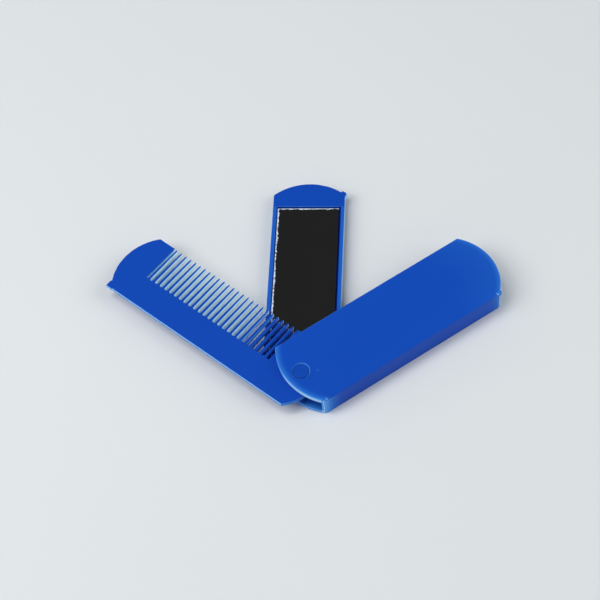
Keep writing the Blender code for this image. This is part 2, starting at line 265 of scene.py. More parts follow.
def end_arc(tip, radius, low, high, steps, middle=0.0):
    """The bulging far end of a plate: an arc whose outermost point is at x = tip."""
    start = math.asin((low - middle) / radius)
    end = math.asin((high - middle) / radius)
    return arc((tip - radius, middle), radius, start, end, steps)


def near_arc(tip, radius, high, low, steps, middle=0.0):
    """The bulging near end of a plate, whose outermost point is at x = -tip, from high to low."""
    mirrored = end_arc(tip, radius, low, high, steps, middle)
    return [(-x, y) for x, y in reversed(mirrored)]


def chord_rise(radius, half_width):
    """How far an arc of this radius bulges past a chord of this half width."""
    return radius - math.sqrt(radius ** 2 - half_width ** 2)


def rounded_corner(before, corner, after, radius, steps):
    """Points that round a corner of an outline with an arc."""
    back = Vector(before) - Vector(corner)
    ahead = Vector(after) - Vector(corner)
    half_angle = back.angle(ahead) / 2
    reach = radius / math.tan(half_angle)
    inward = (back.normalized() + ahead.normalized()).normalized()
    centre = Vector(corner) + inward * reach / math.cos(half_angle)
    first = Vector(corner) + back.normalized() * reach - centre
    start = math.atan2(first.y, first.x)
    return arc(centre, first.length, start, start + math.pi - 2 * half_angle, steps)


def rectangle(low_x, low_y, high_x, high_y):
    """The corners of a rectangle, counterclockwise."""
    return [(low_x, low_y), (high_x, low_y), (high_x, high_y), (low_x, high_y)]


def plate_mesh(outline, bottom, top, top_round=0.0, bottom_round=0.0, segments=1, split=0.0):
    """A flat plate: the outline extruded from bottom to top, with its rims rounded. With a split, the
    wall also has an edge loop at that height above the bottom."""
    plate = bmesh.new()
    cap = plate.faces.new([plate.verts.new((x, y, bottom)) for x, y in outline])
    for rise in ([split] if split else []) + [top - bottom - split]:
        raised = bmesh.ops.extrude_face_region(plate, geom=[cap])
        cap = next(item for item in raised["geom"] if isinstance(item, bmesh.types.BMFace))
        bmesh.ops.translate(plate, verts=cap.verts, vec=(0, 0, rise))
    for level, radius in ((top, top_round), (bottom, bottom_round)):
        if radius > 0.0:
            rim = [edge for edge in plate.edges
                   if all(abs(v.co.z - level) < MM / 1000 for v in edge.verts)]
            bmesh.ops.bevel(plate, geom=rim, offset=radius, offset_type="OFFSET", segments=segments,
                            profile=0.5, affect="EDGES", clamp_overlap=True)
    return plate


def turned_mesh(profile, steps):
    """A solid of revolution about Z, from (radius, height) pairs that start and end on the axis."""
    turned = bmesh.new()
    verts = [turned.verts.new((radius, 0, height)) for radius, height in profile]
    edges = [turned.edges.new(pair) for pair in zip(verts, verts[1:])]
    bmesh.ops.spin(turned, geom=verts + edges, cent=(0, 0, 0), axis=(0, 0, 1),
                   angle=2 * math.pi, steps=steps, use_merge=True)
    bmesh.ops.remove_doubles(turned, verts=turned.verts, dist=MM / 1000)
    return turned


def add_object(name, mesh_builder):
    """Turns a bmesh into an object, with its normals facing out."""
    bmesh.ops.recalc_face_normals(mesh_builder, faces=mesh_builder.faces)
    mesh = bpy.data.meshes.new(name)
    mesh_builder.to_mesh(mesh)
    mesh_builder.free()
    new = bpy.data.objects.new(name, mesh)
    bpy.context.scene.collection.objects.link(new)
    return new


def shaped(piece, cutters=(), joined=(), edge_round=0.0):
    """Joins and cuts solids, rounds the edges that are left sharp, and keeps the result as the mesh."""
    for helper, operation in [(j, "UNION") for j in joined] + [(c, "DIFFERENCE") for c in cutters]:
        boolean = piece.modifiers.new("shape", "BOOLEAN")
        boolean.operation = operation
        boolean.object = helper
        boolean.solver = "EXACT"
    bpy.context.view_layer.update()
    evaluated = piece.evaluated_get(bpy.context.evaluated_depsgraph_get())
    builder = bmesh.new()
    builder.from_mesh(evaluated.to_mesh())
    evaluated.to_mesh_clear()
    bmesh.ops.remove_doubles(builder, verts=builder.verts, dist=MM / 100)
    if edge_round > 0.0:
        sharp = [edge for edge in builder.edges if len(edge.link_faces) == 2
                 and edge.calc_face_angle() > math.radians(40) and edge.calc_length() > edge_round]
        bmesh.ops.bevel(builder, geom=sharp, offset=edge_round, offset_type="OFFSET", segments=2,
                        profile=0.5, affect="EDGES", clamp_overlap=False)
    piece.modifiers.clear()
    builder.to_mesh(piece.data)
    builder.free()
    for helper in list(cutters) + list(joined):
        bpy.data.objects.remove(helper, do_unlink=True)


def smooth(piece, angle=40):
    """Smooth shading that stays flat on the flat faces and sharp at the sharp edges."""
    piece.data.shade_smooth()
    piece.data.set_sharp_from_angle(angle=math.radians(angle))
    weighted = piece.modifiers.new("normals", "WEIGHTED_NORMAL")
    weighted.keep_sharp = True
    weighted.weight = 90
    return piece


def placed(piece, body, angle, slot, *nodes):
    """Puts a piece made about the rivet's axis where its body lies, and hides the CAD parts it stands
    for.
    """
    piece.data.transform(Matrix.Translation(PIVOT) @ Matrix.Rotation(angle, 4, "Z"))
    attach(piece, body)
    if nodes:
        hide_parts(*nodes)


def node(tree, kind, **inputs):
    """A shader node with the values of some of its sockets."""
    new = tree.nodes.new(kind)
    for name, value in inputs.items():
        new.inputs[name.replace("_", " ")].default_value = value
    return new


def mapped(tree, source, low, high, out_low, out_high):
    """Maps a socket's value from one range to another, clamped."""
    new = node(tree, "ShaderNodeMapRange", From_Min=low, From_Max=high, To_Min=out_low, To_Max=out_high)
    tree.links.new(source, new.inputs["Value"])
    return new.outputs["Result"]


def mixed(tree, factor, first, second):
    """Mixes two colours, each a socket or an RGB value, by a socket."""
    new = tree.nodes.new("ShaderNodeMix")
    new.data_type = "RGBA"
    tree.links.new(factor, new.inputs[0])
    for index, colour in ((6, first), (7, second)):
        if isinstance(colour, tuple):
            new.inputs[index].default_value = (*colour, 1.0)
        else:
            tree.links.new(colour, new.inputs[index])
    return new.outputs[2]


def noise(tree, coordinates, scale, detail=3.0, roughness=0.5):
    """A noise texture's value."""
    new = node(tree, "ShaderNodeTexNoise", Scale=scale, Detail=detail, Roughness=roughness)
    tree.links.new(coordinates, new.inputs["Vector"])
    return new.outputs["Fac"]


def math_node(tree, operation, first, second):
    """A Math node on two values, each a socket or a number."""
    new = tree.nodes.new("ShaderNodeMath")
    new.operation = operation
    for index, value in enumerate((first, second)):
        if isinstance(value, (int, float)):
            new.inputs[index].default_value = value
        else:
            tree.links.new(value, new.inputs[index])
    return new.outputs[0]


def blank_material(name):
    """A new material with nodes, its tree and its Principled shader."""
    new = bpy.data.materials.new(name)
    new.use_nodes = True
    return new, new.node_tree, new.node_tree.nodes["Principled BSDF"]


def fade(value, start, end):
    """0 up to start, 1 from end on, and straight between."""
    return min(1.0, max(0.0, (value - start) / (end - start)))


def mark_light(piece, light_at):
    """Stores on each face corner how much painted light the plastic gets there, up to 1, or how much
    painted shade, down to -0.25. light_at works it out from the corner's place, and the face's middle,
    its normal and how steep it is."""
    marks = piece.data.attributes.new("painted_light_shade", "FLOAT", "CORNER")
    values = []
    for polygon in piece.data.polygons:
        steep = 1.0 - fade(abs(polygon.normal.z), 0.3, 0.97)
        for index in polygon.vertices:
            values.append(light_at(piece.data.vertices[index].co, polygon.center, polygon.normal, steep))
    marks.data.foreach_set("value", values)


def end_bands():
    """The soft bands of painted light on the case's top: each end arc's centre and radius, and what the
    band says.
    """
    near = (PIVOT.x - TOP_NEAR + TOP_NEAR_RADIUS, PIVOT.y + TOP_NEAR_MIDDLE, TOP_NEAR_RADIUS)
    far = (PIVOT.x + CASE_FAR - CASE_FAR_RADIUS, PIVOT.y + CASE_FAR_MIDDLE, CASE_FAR_RADIUS)
    return [(near, NEAR_BAND), (far, FAR_WIDE_BAND), (far, FAR_BAND)]


def rim_band(tree, place, end, band):
    """A soft band of painted light on the case's top along one of its end arcs, brightest at the rim."""
    centre_x, centre_y, radius = end
    width, strength, side_start, side_full = band
    flat = tree.nodes.new("ShaderNodeVectorMath")
    flat.operation = "MULTIPLY"
    flat.inputs[1].default_value = (1, 1, 0)
    tree.links.new(place, flat.inputs[0])
    away = tree.nodes.new("ShaderNodeVectorMath")
    away.operation = "DISTANCE"
    away.inputs[1].default_value = (centre_x, centre_y, 0)
    tree.links.new(flat.outputs["Vector"], away.inputs[0])
    split = tree.nodes.new("ShaderNodeSeparateXYZ")
    tree.links.new(place, split.inputs["Vector"])
    side = mapped(tree, split.outputs["X"], PIVOT.x + side_start, PIVOT.x + side_full, 0.0, 1.0)
    near = mapped(tree, away.outputs["Value"], radius - width, radius, 0.0, 1.0)
    soft = math_node(tree, "POWER", near, 1.6)
    return math_node(tree, "MULTIPLY", math_node(tree, "MULTIPLY", soft, side), strength)


def plastic(name, colour, seed, bands=()):
    """Moulded plastic: slight flow clouds, a fine mould grain, and painted light and shade: paler
    colours at the edges of thin plates, in place of light that passes into the plastic, and darker
    colours where the painted level is below 0."""
    new, tree, shader = blank_material(name)
    coordinates = tree.nodes.new("ShaderNodeTexCoord")
    offset = node(tree, "ShaderNodeMapping", Location=(seed, seed * 0.7, seed * 1.3))
    tree.links.new(coordinates.outputs["Object"], offset.inputs["Vector"])
    place = offset.outputs["Vector"]

    clouds = noise(tree, place, 45.0, 2.0)
    darker = tuple(c * 0.965 for c in colour)
    lighter = tuple(min(1.0, c * 1.035) for c in colour)
    base = mixed(tree, clouds, darker, lighter)
    # Painted light and painted shade per face corner, plus the painted bands along the case's ends.
    marks = tree.nodes.new("ShaderNodeAttribute")
    marks.attribute_name = "painted_light_shade"
    painted_level = marks.outputs["Fac"]
    # Painted light bands along the case's end arcs are added here.
    for end, band in bands:
        band_light = rim_band(tree, coordinates.outputs["Object"], end, band)
        painted_level = math_node(tree, "ADD", painted_level, band_light)
    # Painted shade: below 0 the colour turns darker.
    low, high, unlit_colour = PAINTED_SHADE_STAGE
    base = mixed(tree, mapped(tree, painted_level, low, high, 0.0, 1.0), unlit_colour, base)
    # Painted light: above 0 the colour turns paler in stages.
    for low, high, lit_colour in PAINTED_LIGHT_STAGES:
        base = mixed(tree, mapped(tree, painted_level, low, high, 0.0, 1.0), base, lit_colour)
    tree.links.new(base, shader.inputs["Base Color"])
    shader.inputs["Specular IOR Level"].default_value = PLASTIC_SHINE

    smears = noise(tree, place, 40.0, 2.0)
    roughness = mapped(tree, smears, 0.0, 1.0, PLASTIC_ROUGHNESS - ROUGHNESS_SWING,
                       PLASTIC_ROUGHNESS + ROUGHNESS_SWING)
    tree.links.new(roughness, shader.inputs["Roughness"])

    grain = noise(tree, place, 5200.0, 2.0)
    waves = noise(tree, place, 260.0, 2.0)
    height = math_node(tree, "ADD", math_node(tree, "MULTIPLY", grain, 0.06), waves)
    bump = node(tree, "ShaderNodeBump", Strength=0.2, Distance=0.00002)
    tree.links.new(height, bump.inputs["Height"])
    tree.links.new(bump.outputs["Normal"], shader.inputs["Normal"])
    return new


def silvered_glass():
    """The mirror's face: a clean reflection with faint dust."""
    new, tree, shader = blank_material("silvered_glass")
    coordinates = tree.nodes.new("ShaderNodeTexCoord")
    place = coordinates.outputs["Object"]
    shader.inputs["Metallic"].default_value = 1.0
    dust = mapped(tree, noise(tree, place, 1500.0, 5.0, 0.7), 0.66, 0.8, 0.0, 0.5)
    film = mapped(tree, noise(tree, place, 60.0, 3.0), 0.35, 0.75, 0.0, 0.25)
    silver = mixed(tree, film, (0.82, 0.83, 0.82), (0.72, 0.74, 0.74))
    tree.links.new(silver, shader.inputs["Base Color"])
    haze = mapped(tree, math_node(tree, "ADD", dust, film), 0.0, 1.0, 0.015, 0.10)
    tree.links.new(haze, shader.inputs["Roughness"])
    return new


def ground_glass():
    """The glass's cut edge: white, rough and speckled with dark chips."""
    new, tree, shader = blank_material("ground_glass")
    coordinates = tree.nodes.new("ShaderNodeTexCoord")
    place = coordinates.outputs["Object"]
    chips = mapped(tree, noise(tree, place, 900.0, 4.0, 0.7), 0.38, 0.48, 0.0, 1.0)
    edge_colour = mixed(tree, chips, (0.05, 0.07, 0.10), (0.80, 0.91, 1.0))
    tree.links.new(edge_colour, shader.inputs["Base Color"])
    shader.inputs["Roughness"].default_value = 0.35
    bump = node(tree, "ShaderNodeBump", Strength=0.5, Distance=0.0001)
    tree.links.new(noise(tree, place, 2600.0, 4.0), bump.inputs["Height"])
    tree.links.new(bump.outputs["Normal"], shader.inputs["Normal"])
    return new


def foam_tape():
    """The tape behind the glass."""
    new, tree, shader = blank_material("foam_tape")
    coordinates = tree.nodes.new("ShaderNodeTexCoord")
    cells = noise(tree, coordinates.outputs["Object"], 3000.0, 2.0)
    foam = mixed(tree, cells, (0.62, 0.62, 0.58), (0.74, 0.74, 0.70))
    tree.links.new(foam, shader.inputs["Base Color"])
    shader.inputs["Roughness"].default_value = 0.8
    return new


def case_outline():
    """The case in plan, with its two spine corners rounded. Its spine side has some extra points near
    the rivet end, where the light through it fades."""
    far = end_arc(CASE_FAR, CASE_FAR_RADIUS, -SPINE_REACH, OPEN_REACH, 72, CASE_FAR_MIDDLE)
    near = near_arc(TOP_NEAR, TOP_NEAR_RADIUS, OPEN_REACH, -SPINE_REACH, 60, TOP_NEAR_MIDDLE)
    far_corner = rounded_corner(near[-1], far[0], far[2], SPINE_CORNER_ROUND, 6)
    near_corner = rounded_corner(near[-3], near[-1], far[0], SPINE_CORNER_ROUND, 6)
    outline = far_corner + [p for p in far if p[1] > far_corner[-1][1] + MARGIN]
    outline += [p for p in near if p[1] > near_corner[0][1] + MARGIN] + near_corner
    return outline + [(x, -SPINE_REACH) for x in SPINE_EXTRA_POINTS]


def case_lip():
    """The near end of the bottom plate, whose other sides are sunk into the case's block."""
    low = -SPINE_REACH + LIP_INSET
    high = OPEN_REACH - LIP_INSET
    outline = near_arc(LIP_NEAR, LIP_RADIUS, high, low, 60, LIP_MIDDLE)
    corner = rounded_corner(outline[-3], outline[-1], (LIP_ROOT, low), LIP_CORNER_ROUND, 6)
    outline = [p for p in outline if p[1] > corner[0][1] + MARGIN] + corner
    outline += [(LIP_ROOT, low), (LIP_ROOT, high)]
    return plate_mesh(outline, 0, BOTTOM_WALL, 0, CASE_BOTTOM_ROUND, 4)


def case_light(place, centre, normal, steep):
    """Painted light, most on the case's end arcs, and little painted light or painted shade on the spine
    and inside the slot.
    """
    if centre.xy.length < SEAT_REACH:
        on_chamfer = 0.3 < normal.z < 0.9 and centre.z > CASE_CEILING
        return SEAT_LIGHT + SEAT_RISE * fade(place.x, -1.0 * MM, 2.5 * MM) if on_chamfer else 0.0
    if abs(centre.z - BOTTOM_WALL) < MM / 100:
        return SLOT_FLOOR_LIGHT
    # Painted shade on the spine's faces, with painted light rising towards its ends.
    if centre.y < -SPINE_FACE + 0.1 * MM and abs(normal.y) > 0.8:
        if normal.y > 0.0:
            return SPINE_INSIDE_LIGHT
        near_rise = SPINE_NEAR_RISE * fade(place.x, SPINE_FADE_END, SPINE_FADE_START)
        far_rise = SPINE_FAR_RISE * fade(place.x, SPINE_FADE_END, CASE_FAR)
        return steep * (SPINE_LIGHT + near_rise + far_rise)
    if centre.y < -SPINE_FACE and abs(normal.x) < 0.3:
        return 0.0
    if centre.x > 10.0 * MM:
        return steep * (FAR_END_LIGHT if normal.x > 0.3 else OPEN_SIDE_LIGHT)
    if centre.y < -SPINE_FACE:
        return steep * (SPINE_CORNER_LIGHT if -0.92 < normal.y < -0.68 else SPINE_END_LIGHT)
    if centre.z < BOTTOM_WALL:
        return steep * LIP_LIGHT
    open_drop = NEAR_END_OPEN_DROP * fade(place.y, 0.0, 7.0 * MM)
    spine_drop = NEAR_END_SPINE_DROP * fade(place.y, -7.0 * MM, -14.0 * MM)
    return steep * (NEAR_END_LIGHT - open_drop - spine_drop)


def nub_light(place, centre, normal, steep):
    """Painted light on a nub's sides, most on the side towards the rivet end."""
    return steep * (NUB_NEAR_LIGHT if normal.x < 0.0 else NUB_LIGHT)


def build_case(finish):
    """The channel-shaped case with its slot, rivet seat, gate mark and two nubs."""
    block = plate_mesh(case_outline(), 0, CASE_TOP, CASE_TOP_ROUND, CASE_BOTTOM_ROUND, 6)
    case = add_object("case_shell", block)
    slot = rectangle(-LIP_NEAR - BEYOND, -SPINE_FACE, CASE_FAR + BEYOND, OPEN_REACH + BEYOND)
    slot_cutter = add_object("slot_cutter", plate_mesh(slot, BOTTOM_WALL, CASE_CEILING))
    seat_radius = PIN_HEAD_RADIUS + HEAD_GAP
    rivet_hole = add_object("rivet_cutter", turned_mesh([
        (0, -BEYOND),
        (PIN_FOOT_RADIUS + PIN_GAP, -BEYOND),
        (PIN_FOOT_RADIUS + PIN_GAP, PIN_FOOT_THICKNESS + PIN_GAP),
        (PIN_RADIUS + PIN_GAP, PIN_FOOT_THICKNESS + PIN_GAP),
        (PIN_RADIUS + PIN_GAP, CASE_TOP - PIN_HEAD_THICKNESS - PIN_GAP),
        (seat_radius, CASE_TOP - PIN_HEAD_THICKNESS - PIN_GAP),
        (seat_radius, CASE_TOP - SEAT_CHAMFER),
        (seat_radius + SEAT_CHAMFER, CASE_TOP),
        (seat_radius + SEAT_CHAMFER, CASE_TOP + BEYOND),
        (0, CASE_TOP + BEYOND)], 72))
    shaped(case, cutters=[slot_cutter, rivet_hole],
           joined=[add_object("case_lip", case_lip()), add_object("gate_mark", gate_mark())],
           edge_round=SLOT_EDGE_ROUND)
    case.data.materials.append(finish)
    mark_light(case, case_light)
    smooth(case)

    nub_y = -SPINE_REACH + SPINE_NUB_INSET
    near_edge = -TOP_NEAR + chord_rise(TOP_NEAR_RADIUS, nub_y - TOP_NEAR_MIDDLE)
    far_edge = CASE_FAR - chord_rise(CASE_FAR_RADIUS, nub_y - CASE_FAR_MIDDLE)
    nubs = [spine_nub("near_nub", near_edge + NEAR_NUB_INSET, nub_y),
            spine_nub("far_nub", far_edge - FAR_NUB_INSET, nub_y)]
    for nub in nubs:
        nub.data.materials.append(finish)
        mark_light(nub, nub_light)
        smooth(nub)
    return case, nubs


def gate_mark():
    """The small round scar where the plastic went into the case's mould: a low button on the top."""
    foot = CASE_TOP - 0.5 * MM
    profile = [(0, foot), (GATE_MARK_RADIUS, foot)]
    profile += [(GATE_MARK_RADIUS * math.cos(a), CASE_TOP + GATE_MARK_HEIGHT * math.sin(a))
                for a in (0.0, math.pi / 8, math.pi / 4, 3 * math.pi / 8, math.pi / 2)]
    button = turned_mesh(profile, 24)
    bmesh.ops.translate(button, verts=button.verts, vec=(GATE_MARK_X, GATE_MARK_Y, 0))
    return button


def spine_nub(name, x, y):
    """A small rounded lug on top of the spine, sunk into the top plate."""
    half_length = (SPINE_NUB_LENGTH - SPINE_NUB_WIDTH) / 2
    radius = SPINE_NUB_WIDTH / 2
    outline = arc((x + half_length, y), radius, -math.pi / 2, math.pi / 2, 12)
    outline += arc((x - half_length, y), radius, math.pi / 2, 3 * math.pi / 2, 12)
    nub = plate_mesh(outline, CASE_CEILING + 0.5 * MM, CASE_TOP + SPINE_NUB_HEIGHT,
                     SPINE_NUB_HEIGHT * 0.7, 0, 4)
    return add_object(name, nub)


def comb_outline():
    """The comb leaf in plan: round end with its tab, straight back, round heel, and teeth."""
    tab_low = COMB_BACK - COMB_TAB_WIDTH
    tab_x = COMB_END - chord_rise(COMB_END_RADIUS, tab_low) + COMB_TAB_REACH
    outline = end_arc(COMB_END, COMB_END_RADIUS, -TOOTH_REACH, tab_low, 60)
    outline += [(tab_x, tab_low + COMB_TAB_REACH), (tab_x, COMB_BACK + COMB_TAB_PROUD),
                (tab_x - COMB_TAB_LENGTH, COMB_BACK + COMB_TAB_PROUD),
                (tab_x - COMB_TAB_LENGTH - COMB_TAB_PROUD, COMB_BACK)]
    heel_tip = COMB_HEEL_CORNER + chord_rise(COMB_HEEL_RADIUS, COMB_BACK)
    outline += near_arc(heel_tip, COMB_HEEL_RADIUS, COMB_BACK, -TOOTH_REACH, 48)
    block_slot = BLOCK_WALL - BLOCK_SLOT_WIDTH
    slots = int((block_slot - TEETH_START) / TOOTH_PITCH)
    for index in reversed(range(1, slots + 1)):
        outline += slot_outline(block_slot - index * TOOTH_PITCH, SLOT_ROOT_WIDTH, SLOT_FLARE)
    # The last slot is narrower, and straight on the end block's side.
    outline += slot_outline(block_slot, BLOCK_SLOT_WIDTH, 0.0)
    return outline


def slot_outline(near, width, far_flare):
    """One gap between two teeth, from its mouth to its round root and back. Its near wall is at x = near
    at the root, and the gap widens towards its mouth."""
    radius = width / 2
    far = near + width
    shoulder = -TOOTH_REACH + TOOTH_POINT
    points = [(near - SLOT_FLARE - TOOTH_POINT_FLARE, -TOOTH_REACH), (near - SLOT_FLARE, shoulder)]
    points += arc((near + radius, TOOTH_ROOT - radius), radius, math.pi, 0, 10)
    points += [(far + far_flare, shoulder), (far + far_flare + TOOTH_POINT_FLARE, -TOOTH_REACH)]
    return points


def comb_light(place, centre, normal, steep):
    """Painted light, most on the teeth, but little where they lie over the mirror. The lower part of the
    back gets less painted light, so it is darker."""
    dark_band_top = COMB_BOTTOM + COMB_DARK_BAND
    if centre.xy.length < HOLE_REACH:
        return 0.0
    if centre.x > BLOCK_WALL - 0.4 * MM and normal.x < -0.5:
        return steep * fade(place.z, COMB_TOP, dark_band_top)
    in_field = TEETH_START - 1.0 * MM < centre.x < BLOCK_WALL + 0.6 * MM
    if in_field and centre.y < TOOTH_ROOT + 0.5 * MM:
        open_air = fade(place.x, TOOTH_FADE_START, TOOTH_FADE_END)
        tip = fade(place.y, -TOOTH_REACH + TOOTH_TIP_LENGTH, -TOOTH_REACH)
        shaded = SHADED_TOOTH_LIGHT + SHADED_TIP_RISE * tip
        return steep * (open_air + shaded * (1.0 - open_air))
    if centre.x > COMB_END_START and normal.x > -0.5:
        on_tab = centre.y > COMB_BACK - COMB_TAB_WIDTH
        return steep * (TAB_LIGHT if on_tab else COMB_END_LIGHT)
    if centre.x < 0.0 and normal.x < -0.2:
        return steep * (COMB_HEEL_LIGHT + COMB_HEEL_RISE * fade(place.y, 4.0 * MM, COMB_BACK))
    return steep * (COMB_DARK_LIGHT if centre.z < dark_band_top else COMB_BACK_LIGHT)


def shank_hole_cutter():
    """What a leaf's round hole for the rivet's shank is cut with."""
    radius = PIN_RADIUS + PIN_GAP
    hole = turned_mesh([(0, 0), (radius, 0), (radius, CASE_TOP), (0, CASE_TOP)], 48)
    return add_object("hole_cutter", hole)


def build_comb(finish):
    """The comb leaf."""
    # The wall's loop at COMB_DARK_BAND bounds the band of painted shade on the comb's back.
    mesh = plate_mesh(comb_outline(), COMB_BOTTOM, COMB_TOP, COMB_EDGE_ROUND, COMB_EDGE_ROUND, 3,
                      COMB_DARK_BAND)
    comb = add_object("comb_leaf", mesh)
    shaped(comb, cutters=[shank_hole_cutter()])
    comb.data.materials.append(finish)
    mark_light(comb, comb_light)
    return smooth(comb)


def tray_light(place, centre, normal, steep):
    """Painted light on the tray's outer walls, most at its right edge, and a little on its thin rails."""
    margin = 0.2 * MM
    beside_recess = RECESS_START - margin < centre.x < RECESS_END
    if beside_recess and RAIL_LOW - margin < centre.y < RAIL_HIGH + margin:
        return 0.0
    if centre.xy.length < HOLE_REACH or centre.x < 0.0:
        return 0.0
    if centre.y < RAIL_LOW and centre.z > HOLDER_BOTTOM + HOLDER_EDGE_ROUND and normal.y < -0.1:
        return RIGHT_EDGE_LIGHT * fade(normal.y, -0.1, -0.6)
    wall = steep * (TRAY_SIDE_LIGHT + TRAY_RIGHT_RISE * fade(normal.y, 0.2, -0.6))
    return max(RAIL_LIGHT if beside_recess else 0.0, wall)


def build_tray(finish):
    """The mirror leaf: a plate with a recess between two rails, and a tab at its far right corner."""
    middle = (HOLDER_LEFT - HOLDER_RIGHT) / 2
    half_width = (HOLDER_LEFT + HOLDER_RIGHT) / 2
    corner_x = HOLDER_END - chord_rise(HOLDER_END_RADIUS, half_width)
    tab_low = -HOLDER_RIGHT + HOLDER_TAB_WIDTH
    tab_x = HOLDER_END - chord_rise(HOLDER_END_RADIUS, middle - tab_low) + HOLDER_TAB_PROUD
    outline = [(corner_x - HOLDER_TAB_WIDTH / 2, -HOLDER_RIGHT),
               (corner_x, -HOLDER_RIGHT - HOLDER_TAB_PROUD),
               (tab_x - HOLDER_TAB_WIDTH / 2, -HOLDER_RIGHT - HOLDER_TAB_PROUD),
               (tab_x, -HOLDER_RIGHT + HOLDER_TAB_WIDTH / 2)]
    outline += end_arc(HOLDER_END, HOLDER_END_RADIUS, tab_low, HOLDER_LEFT, 60, middle)
    rise = HOLDER_HEEL_REACH + HOLDER_HEEL_CORNER
    heel_radius = (half_width ** 2 + rise ** 2) / (2 * rise)
    outline += near_arc(HOLDER_HEEL_REACH, heel_radius, HOLDER_LEFT, -HOLDER_RIGHT, 48, middle)
    mesh = plate_mesh(outline, HOLDER_BOTTOM, HOLDER_TOP, HOLDER_EDGE_ROUND, HOLDER_EDGE_ROUND, 3)
    tray = add_object("mirror_tray", mesh)

    corners = rectangle(RECESS_START, RAIL_LOW, RECESS_END, RAIL_HIGH)
    recess = add_object("recess_cutter", plate_mesh(corners, HOLDER_BOTTOM + HOLDER_FLOOR, CASE_TOP))
    shaped(tray, cutters=[recess, shank_hole_cutter()], edge_round=RECESS_EDGE_ROUND)
    cut_across(tray, RECESS_END)
    cut_across(tray, RECESS_START)
    tray.data.materials.append(finish)
    mark_light(tray, tray_light)
    return smooth(tray)


def cut_across(piece, x):
    """Cuts a piece's faces along the plane at x, and keeps both sides."""
    builder = bmesh.new()
    builder.from_mesh(piece.data)
    everything = list(builder.verts) + list(builder.edges) + list(builder.faces)
    bmesh.ops.bisect_plane(builder, geom=everything, plane_co=(x, 0, 0), plane_no=(1, 0, 0),
                           dist=MM / 1000)
    builder.to_mesh(piece.data)
    builder.free()


def chipped_ring(low, high, insets, counts, wander, bites, rng):
    """Points round a rectangle that is inset from its right, far, left and near sides, each pushed a
    little further in or out at random, with some deeper bites. Both are in parts of its side's inset."""
    right, far, left, near = insets
    corners = [Vector((low.x + near, low.y + right)), Vector((high.x - far, low.y + right)),
               Vector((high.x - far, high.y - left)), Vector((low.x + near, high.y - left))]
    inwards = [Vector((0, 1)), Vector((-1, 0)), Vector((0, -1)), Vector((1, 0))]
    points = []
    for side, (inset, count) in enumerate(zip(insets, counts)):
        start = corners[side]
        end = corners[(side + 1) % 4]
        drift = 0.0
        for step in range(count):
            drift = drift * 0.7 + rng.uniform(-1, 1) * wander
            bite = rng.uniform(0.3, 1.0) * bites if rng.random() < 0.12 else 0.0
            push = max(-0.6, drift + bite) * inset if step else 0.0
            points.append(start + (end - start) * step / count + inwards[side] * push)
    return points


def build_pane(face, edge):
    """The mirror glass: a flat silvered face inside a narrow, roughly ground and chipped edge."""
    rng = random.Random(7)
    low = Vector((RECESS_START + GLASS_PLAY, RAIL_LOW + GLASS_PLAY + GLASS_SHIFT))
    high = Vector((RECESS_END - GLASS_PLAY, RAIL_HIGH - GLASS_PLAY + GLASS_SHIFT))
    along = round((high.x - low.x) / CHIP_SPACING)
    across = round((high.y - low.y) / CHIP_SPACING)
    counts = (along, across, along, across)
    sharp = (0.0, 0.0, 0.0, 0.0)
    part_ground = tuple(width * 0.35 for width in GROUND_WIDTHS)
    rings = [(chipped_ring(low, high, sharp, counts, 0.0, 0.0, rng), GLASS_BOTTOM),
             (chipped_ring(low, high, sharp, counts, 0.0, 0.0, rng), GLASS_TOP - GROUND_DEPTH),
             (chipped_ring(low, high, part_ground, counts, 0.3, 0.2, rng), GLASS_TOP - GROUND_STEP),
             (chipped_ring(low, high, GROUND_WIDTHS, counts, 0.22, 0.5, rng), GLASS_TOP)]
    pane = bmesh.new()
    loops = [[pane.verts.new((p.x, p.y, z)) for p in ring] for ring, z in rings]
    pane.faces.new(reversed(loops[0]))
    for lower, upper in zip(loops, loops[1:]):
        for index in range(len(lower)):
            following = (index + 1) % len(lower)
            side = pane.faces.new((lower[index], lower[following], upper[following], upper[index]))
            side.material_index = 0 if index < along else 1
    # The face is one quad inside four strips, so that it stays perfectly flat.
    quad = rectangle(low.x + GLASS_STRIP, low.y + GLASS_STRIP,
                     high.x - GLASS_STRIP, high.y - GLASS_STRIP)
    inner = [pane.verts.new((x, y, GLASS_TOP)) for x, y in quad]
    pane.faces.new(inner)
    first = 0
    for side, count in enumerate(counts):
        rim = [loops[-1][(first + step) % len(loops[-1])] for step in range(count + 1)]
        pane.faces.new(rim + [inner[(side + 1) % 4], inner[side]])
        first += count
    piece = add_object("mirror_pane", pane)
    piece.data.materials.append(face)
    piece.data.materials.append(edge)
    return piece


